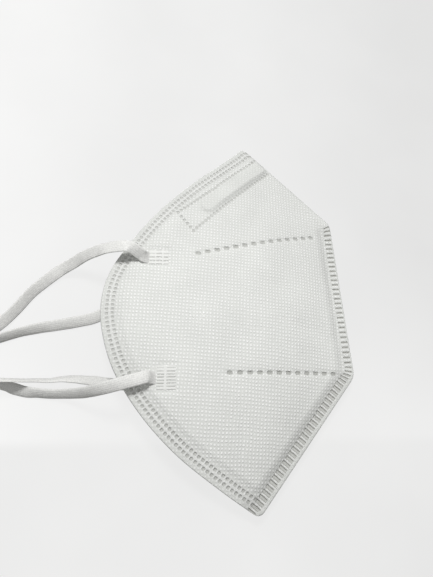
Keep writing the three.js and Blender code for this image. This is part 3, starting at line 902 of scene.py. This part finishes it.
def seam_weld(tree, at):
    """Shares of the front seams' bars, of painted shade along the bars' edges, of a painted highlight on one
    side of each block between them, and of their row.
    """
    half_pitch = SEAM_BARS["pitch"] / 2
    along = calc(tree, "SUBTRACT", half_pitch, calc(tree, "PINGPONG", at["along_front"], half_pitch))
    past = calc(tree, "SUBTRACT", along, at["bar"])
    across = fall(tree, past, -0.1, 0.12)
    # Painted shade along both edges of each bar.
    painted_rim_shade = fall(tree, calc(tree, "ABSOLUTE", calc(tree, "ADD", past, 0.08)), 0.1, 0.3)
    widths = {"From Min": BAR_HALF_WIDTH["upper"], "From Max": BAR_HALF_WIDTH["lower"]}
    first, last = (
        node(tree, "MapRange", {"Value": at["bar"], **widths, "To Min": upper, "To Max": lower})
        for upper, lower in zip(SEAM_BARS["upper"], SEAM_BARS["lower"])
    )
    begun = ramp(tree, calc(tree, "SUBTRACT", at["outline"], first), -0.15, 0.1)
    not_ended = fall(tree, calc(tree, "SUBTRACT", at["outline"], last), -0.15, 0.1)
    row = product(tree, begun, not_ended, ramp(tree, at["bar"], 0.05, 0.2))
    in_pitch = calc(tree, "FRACT", calc(tree, "DIVIDE", at["along_front"], SEAM_BARS["pitch"]))
    # Painted highlight: each block between the bars is lighter on one side only, as if lit from there.
    lit = greatest(tree, ramp(tree, in_pitch, 0.68, 0.85), fall(tree, in_pitch, 0.0, 0.25))
    uneven = ramp(tree, noise(tree, at["object"], 0.9, 1.0), 0.35, 0.6, 0.15, 1.0)
    return product(tree, across, row), product(tree, painted_rim_shade, row), product(tree, row, lit, uneven), row


def raised_dots(tree, at):
    """The cloth's small square dots, uneven in height and lower in its pressed borders."""
    wander = node(tree, "TexNoise", {"Vector": at["object"], "Scale": 0.16}, output=1)
    wander = scaled(tree, wander, LATTICE["wander"])
    place = split(tree, vector_calc(tree, "ADD", millimetres(tree, LATTICE["turn"]), wander))
    sides = [
        fall(tree, calc(tree, "PINGPONG", side, pitch / 2), *LATTICE["half_width"])
        for side, pitch in zip(place[:2], LATTICE["pitch"])
    ]
    uneven = ramp(tree, noise(tree, at["object"], 0.62, 1.0), 0.25, 0.62, 0.35, 1.0)
    left = {
        name: ramp(tree, at[name], start, end, share, 1.0)
        for name, (start, end, share) in LATTICE["borders"].items()
    }
    left["outline"] = greatest(tree, left["outline"], at["on_fold"])
    return product(tree, *sides, uneven, *left.values())


def cloth_tone_and_painted_light(tree, at):
    """Tone of the cloth, darker in the hem and towards the nose, with painted shade beside the seams and
    painted light on the outer half millimetre of its face edge.
    """
    seams = CLOTH_TONE_AND_PAINTED_LIGHT["upper_seam"], CLOTH_TONE_AND_PAINTED_LIGHT["lower_seam"]
    # Painted shade beside the seams, darker beside the lower one.
    painted_seam_shade = ramp(tree, at["bar"], *BAR_HALF_WIDTH.values(), *seams)
    upwards = split(tree, at["object"])[1]
    return product(
        tree,
        greatest(tree, painted_seam_shade, ramp(tree, at["outline"], 4.2, 9.0), at["on_fold"]),
        ramp(tree, at["edge"], 5.6, 7.0, CLOTH_TONE_AND_PAINTED_LIGHT["hem"], 1.0),
        ramp(tree, upwards, -5.0, 70.0, 1.0, CLOTH_TONE_AND_PAINTED_LIGHT["nose"]),
        # Painted light: lighter on the outermost half millimetre of the face edge.
        ramp(tree, at["edge"], 0.0, 0.5, CLOTH_TONE_AND_PAINTED_LIGHT["painted_edge_light"], 1.0),
    )


def panel_cloth():
    material, tree, shader = new_material("embossed non-woven cloth", 0.92, sheen=0.15)
    at = cloth_places(tree)
    dots = raised_dots(tree, at)
    grain = noise(tree, at["object"], 5.5, 3.0, 0.6)
    drawn = {"Vector": at["object"], "Scale": (0.5, 3.2, 1), "Rotation": (0, 0, 0.5)}
    fibres = noise(tree, node(tree, "Mapping", drawn), 1.6, 3.0, 0.65)
    pits, dashes = pressed_marks(tree, at)
    bars, painted_bar_shade, blocks, bar_row = seam_weld(tree, at)
    pit_rows = ramp(tree, at["edge"], 1.4, 2.0), fall(tree, at["edge"], 5.1, 5.7)

    colour = mix_colours(tree, dots, CLOTH["ground"], CLOTH["dot"])
    for part, strength, name in (
        (bar_row, 0.6, "ground"),
        # painted highlight on one side of each block between the seam bars
        (blocks, 0.55, "dot"),
        (product(tree, *pit_rows), 0.25, "dot"),
        (pits, 1.0, "pit"),
        (dashes, 1.0, "dash"),
        (bars, 0.75, "pit"),
        # painted shade along the bars' edges
        (painted_bar_shade, 0.9, "bar"),
    ):
        colour = mix_colours(tree, product(tree, part, strength), colour, CLOTH[name])
    mottle = tone_of(tree, noise(tree, at["object"], 0.07), 0.975, 1.02)
    uneven = total(tree, mottle, tone_of(tree, fibres, -0.015, 0.015), tone_of(tree, grain, -0.02, 0.02))
    tone = product(tree, uneven, cloth_tone_and_painted_light(tree, at))
    tree.links.new(scaled(tree, colour, tone), shader.inputs["Base Color"])

    pressed = greatest(tree, pits, dashes, bars)
    raise_surface(tree, shader, CLOTH_BUMP, dots=dots, grain=grain, fibres=fibres, marks=pressed)
    return material


def knitted_elastic():
    material, tree, shader = new_material("knitted elastic", 0.85, sheen=0.2)
    along, across, from_end = split(tree, attribute(tree, "knit"))
    wale = calc(tree, "PINGPONG", across, KNIT["wale"] / 2)
    wale = ramp(tree, wale, 0.06, KNIT["wale"] / 2)
    slant = total(tree, along, product(tree, wale, KNIT["slant"]))
    course = ramp(tree, calc(tree, "PINGPONG", slant, KNIT["course"] / 2), 0.0, 0.3)
    loops = total(tree, product(tree, wale, 0.6), product(tree, course, 0.4))
    place = millimetres(tree)
    fuzz = noise(tree, place, 1.7, 3.0, 0.7)
    mottle = tone_of(tree, noise(tree, place, 0.12), 0.97, 1.02)
    uneven = total(tree, mottle, ramp(tree, fuzz, 0.35, 0.65, -0.09, 0.09))
    # Darker from 7 mm to 1.5 mm from each end: painted shade of the bands' steep turns into their patches,
    # and the greyer pressed elastic.
    tone = product(tree, uneven, ramp(tree, from_end, 1.5, 7.0, ELASTIC["pressed"], 1.0))
    colour = mix_colours(tree, loops, ELASTIC["groove"], ELASTIC["loop"])
    tree.links.new(scaled(tree, colour, tone), shader.inputs["Base Color"])
    raise_surface(tree, shader, ELASTIC_BUMP, loops=loops, fuzz=fuzz)
    return material


def pressed_cloth():
    material, tree, shader = new_material("pressed weld", 0.7)
    groove = attribute(tree, "groove", "Fac")
    grain = noise(tree, millimetres(tree), 2.4, 3.0, 0.6)
    colour = mix_colours(tree, groove, WELD_COLOUR["bar"], WELD_COLOUR["groove"])
    tree.links.new(scaled(tree, colour, tone_of(tree, grain, 0.96, 1.03)), shader.inputs["Base Color"])
    raise_surface(tree, shader, WELD_BUMP, grain=grain, groove=groove)
    return material


def clip_metal():
    """Soft aluminium, finely lined along the strip."""
    material, tree, shader = new_material("soft clip metal", 0.4)
    shader.inputs["Metallic"].default_value = 1
    drawn = node(tree, "Mapping", {"Vector": millimetres(tree, -44), "Scale": (0.25, 6, 6)})
    lines = noise(tree, drawn, 1.5, 3.0, 0.6)
    colour = mix_colours(tree, lines, CLIP_COLOUR["dark"], CLIP_COLOUR["light"])
    tree.links.new(colour, shader.inputs["Base Color"])
    tree.links.new(tone_of(tree, lines, 0.32, 0.5), shader.inputs["Roughness"])
    raise_surface(tree, shader, CLIP_BUMP, lines=lines)
    return material


def pale_floor():
    """Pale paper that glows so that shadows on it stay faint. Painted light makes it lighter in a band along
    a line across it and behind that line on the left, and painted shade makes it darker on the right."""
    material, tree, shader = new_material("pale floor", 0.9)
    place = millimetres(tree)
    x, y, _ = split(tree, place)
    fold, left, right = FLOOR["fold"], FLOOR["left"], FLOOR["right"]
    behind = ramp(tree, y, fold["y"] - fold["before"], fold["y"])
    faded = ramp(tree, y, fold["y"], fold["y"] + fold["after"])
    off_light_band = calc(tree, "ABSOLUTE", calc(tree, "SUBTRACT", y, fold["y"]))
    away = ramp(tree, off_light_band, 0, 90, 0.3, 1.0)
    # Painted light and shade: a lighter band along the line, lighter on the left behind it, darker on the
    # right.
    tone = total(
        tree,
        tone_of(tree, noise(tree, place, 0.02, 3.0), 0.99, 1.01),
        product(tree, calc(tree, "SUBTRACT", behind, faded), fold["tone"]),
        product(tree, ramp(tree, x, left["from"], left["to"], left["tone"], 0.0), behind),
        product(tree, ramp(tree, x, right["from"], right["to"], 0.0, right["tone"]), away),
    )
    colour = scaled(tree, FLOOR["colour"], tone)
    tree.links.new(colour, shader.inputs["Base Color"])
    tree.links.new(colour, shader.inputs["Emission Color"])
    shader.inputs["Emission Strength"].default_value = FLOOR["glow"]
    return material


# ---- Bands and their weld patches -----------------------------------


def band_route(route):
    """Centre points and banks along a centripetal curve through the route, close together."""
    p = np.array([r[:3] for r in route])
    bank = np.radians([r[3] for r in route])
    p = np.vstack([2 * p[0] - p[1], p, 2 * p[-1] - p[-2]])
    points, banks = [], []
    t = np.arange(ROUTE_STEPS)[:, None] / ROUTE_STEPS
    for i in range(len(bank) - 1):
        p0, p1, p2, p3 = p[i : i + 4]
        d0, d1, d2 = (np.linalg.norm(b - a) ** 0.5 for a, b in ((p0, p1), (p1, p2), (p2, p3)))
        m1 = ((p1 - p0) / d0 - (p2 - p0) / (d0 + d1) + (p2 - p1) / d1) * d1
        m2 = ((p2 - p1) / d1 - (p3 - p1) / (d1 + d2) + (p3 - p2) / d2) * d1
        points.append(hermite(p1, p2, m1, m2, t))
        banks.append(lerp(bank[i], bank[i + 1], smoothstep(t[:, 0], 0, 1)))
    return np.vstack([*points, p[-2:-1]]), np.append(np.concatenate(banks), bank[-1])


def surface_under(side, plan):
    """Heights of a panel's outer face at places that are well inside it."""
    inside = np.full(plan.shape[:-1], (FOLD_LENGTH + CORNER_AT) / 2)
    return panel_heights(side, plan, distances_at(plan), inside)[0]


def band_frames(side, route):
    """Rings of a band: their places along it, centres, and the directions across it and up from it."""
    ends = np.array(BAND["ends"])
    heights = surface_under(side, ends) - BAND["sunk"] * OUTWARDS[side]
    first, last = ((*p, z, 0) for p, z in zip(ends, heights))
    line, bank = band_route([first, *route, last])
    length = arc_lengths(line)
    at = np.linspace(0, length[-1], BAND["rings"])
    centre = points_along(line, at)
    bank = np.interp(at, length, bank)[:, None]
    tangent = unit(np.gradient(centre, axis=0))
    level = unit(np.stack([-tangent[:, 1], tangent[:, 0], np.zeros(len(at))], 1))
    across = level * np.cos(bank) + np.cross(tangent, level) * np.sin(bank)
    return at, centre, across, np.cross(tangent, across)


def ear_band(side, route, material):
    """A flat knitted band swept along its route, arched across and thinned in its welded ends. Its
    attribute "knit" holds the places along and across it and the distance from its nearer end."""
    at, centre, across, up = band_frames(side, route)
    angle = np.linspace(0, 2 * pi, BAND["sides"] + 1)
    cosine, sine, power = np.cos(angle), np.sin(angle), BAND["squareness"]
    x = np.sign(cosine) * np.abs(cosine) ** power * BAND["width"] / 2
    y = np.sign(sine) * np.abs(sine) ** power * BAND["thickness"] / 2
    arch = lerp(*BAND["arch"][side], smoothstep(at, 0.4 * at[-1], 0.6 * at[-1]))[:, None]
    y = y + arch * (0.5 - (2 * x / BAND["width"]) ** 2)
    from_end = np.minimum(at, at[-1] - at)
    pressed = BAND["pressed"]
    y = y * lerp(pressed["share"], 1, smoothstep(from_end, pressed["from"], pressed["to"]))[:, None]
    points = centre[:, None] + across[:, None] * x[:, None] + up[:, None] * y[..., None]
    knit = np.stack(np.broadcast_arrays(at[:, None], x, from_end[:, None]), -1)
    return closed_piece(f"{side}_ear_band", points, {"knit": knit}, material), centre * MM


def weld_patch(side, name, material):
    """Where a band's end is pressed into the cloth: blocks of bars with grooves between them. Its
    attribute "groove" is 1 in the deepest groove."""
    weld = WELDS[name]
    sides = [
        np.linspace(*span, int((span[1] - span[0]) / spacing))
        for span, spacing in zip(patch_box(weld), PATCH["spacing"])
    ]
    x, y = np.meshgrid(*sides, indexing="ij")
    groove = np.zeros(x.shape)
    out, within = PATCH["groove_ends"]
    for start, end, strength in weld["blocks"]:
        inside = smoothstep(x, start - out, start + within) * (1 - smoothstep(x, end - within, end + out))
        for at, depth in weld["grooves"]:
            line = 1 - smoothstep(np.abs(y - at), 0.05, weld["groove_half_width"] + 0.12)
            groove = np.maximum(groove, strength * depth * inside * line)
    border = np.minimum(*(np.minimum(v - v.min(), v.max() - v) for v in (x, y)))
    raised = lerp(-PATCH["rim_sinks"], PATCH["rises"], smoothstep(border, 0, PATCH["bevel"]))
    raised -= PATCH["groove"] * groove
    plan = np.dstack([x, y])
    surface = surface_under(side, plan)
    top = np.dstack([plan, surface + OUTWARDS[side] * raised])
    bottom = np.dstack([plan, surface - OUTWARDS[side] * PATCH["back_sinks"]])
    bottom[border == 0] = top[border == 0]
    points = np.hstack([top, bottom[:, -2::-1]])
    groove = np.hstack([groove, groove[:, -2::-1]])
    return closed_piece(f"{side}_{name}_loop_patch", points, {"groove": groove}, material)


# ---- Camera, floor and light ----------------------------------------

CAMERA = {"place": (-33.75, -59.59, 194.62), "turn": (20.02, -8.27, -1.18), "lens": 29.636, "sensor": 36}
FLOOR = {
    "half_width": 1.5,  # in metres
    "colour": (0.04, 0.04, 0.0398),
    "glow": 19.8,
    # fold: the line of a painted lighter band and how far it spreads each way; left and right: painted light
    # on the left and painted shade on the right.
    "fold": {"y": -50, "before": 6, "after": 50, "tone": 0.03},
    "left": {"from": -110, "to": -30, "tone": 0.075},
    "right": {"from": 0, "to": 110, "tone": -0.09},
}
KEY = {"azimuth": 106, "elevation": 65, "distance": 0.6, "size": 0.13, "power": 2.95}
SKY = {"colour": (1, 0.998, 0.992, 1), "strength": 0.43, "below": 0.3}


def add_camera():
    data = bpy.data.cameras.new("camera")
    data.lens = CAMERA["lens"]
    data.sensor_width = CAMERA["sensor"]
    data.clip_start = 5 * MM
    camera = new_object("camera", data)
    camera.location = Vector(CAMERA["place"]) * MM
    camera.rotation_euler = Euler([radians(a) for a in CAMERA["turn"]])
    bpy.context.scene.camera = camera


def add_floor():
    floor = new_object("floor", flat_grid("floor", 2, 2, FLOOR["half_width"]))
    floor.data.materials.append(pale_floor())
    floor.visible_diffuse = False  # its glow lights nothing


def add_light(name, azimuth, elevation, distance, size, power):
    """An area light that faces the mask. Azimuth is from +X towards +Y; distance and size are in metres."""
    data = bpy.data.lights.new(name, "AREA")
    data.size = size
    data.energy = power
    light = new_object(name, data)
    turn = Euler((0, radians(90 - elevation), radians(azimuth)))
    light.rotation_euler = turn
    light.location = turn.to_matrix() @ Vector((0, 0, distance))


def add_sky():
    """Even light from all sides, weaker from below."""
    world = bpy.data.worlds.new("studio")
    world.use_nodes = True
    tree = world.node_tree
    background = tree.nodes["Background"]
    background.inputs["Color"].default_value = SKY["colour"]
    height = split(tree, node(tree, "TexCoord", {}))[2]
    strength = ramp(tree, height, -0.15, 0.1, SKY["below"] * SKY["strength"], SKY["strength"])
    tree.links.new(strength, background.inputs["Strength"])
    bpy.context.scene.world = world


# ---- The mask -------------------------------------------------------

add_camera()
add_floor()
add_light("key", **KEY)
add_sky()
bpy.context.scene.view_settings.view_transform = "Standard"

elastic = knitted_elastic()
for side, route in (("right", RIGHT_LOOP), ("left", LEFT_LOOP)):
    band, centre = ear_band(side, route, elastic)
    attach(band, "root")
    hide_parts(f"{side}_ear_loop")

cloth = panel_cloth()
front_at, ends = row_ends()
outer_plan, inner_plan = plan_grid(ends, OUTER_FACE), plan_grid(ends, INNER_FACE)
for side in ("right", "left"):
    panel = cloth_panel(side, outer_plan, inner_plan, front_at, cloth)
    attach(panel, "root")
    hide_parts(f"{side}_panel")

pressed = pressed_cloth()
for side in ("right", "left"):
    for name in WELDS:
        patch = weld_patch(side, name, pressed)
        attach(patch, "root")
        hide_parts(f"{side}_{name}_loop_weld")

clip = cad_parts["nose_clip"]
clip.material_slots[0].material = clip_metal()
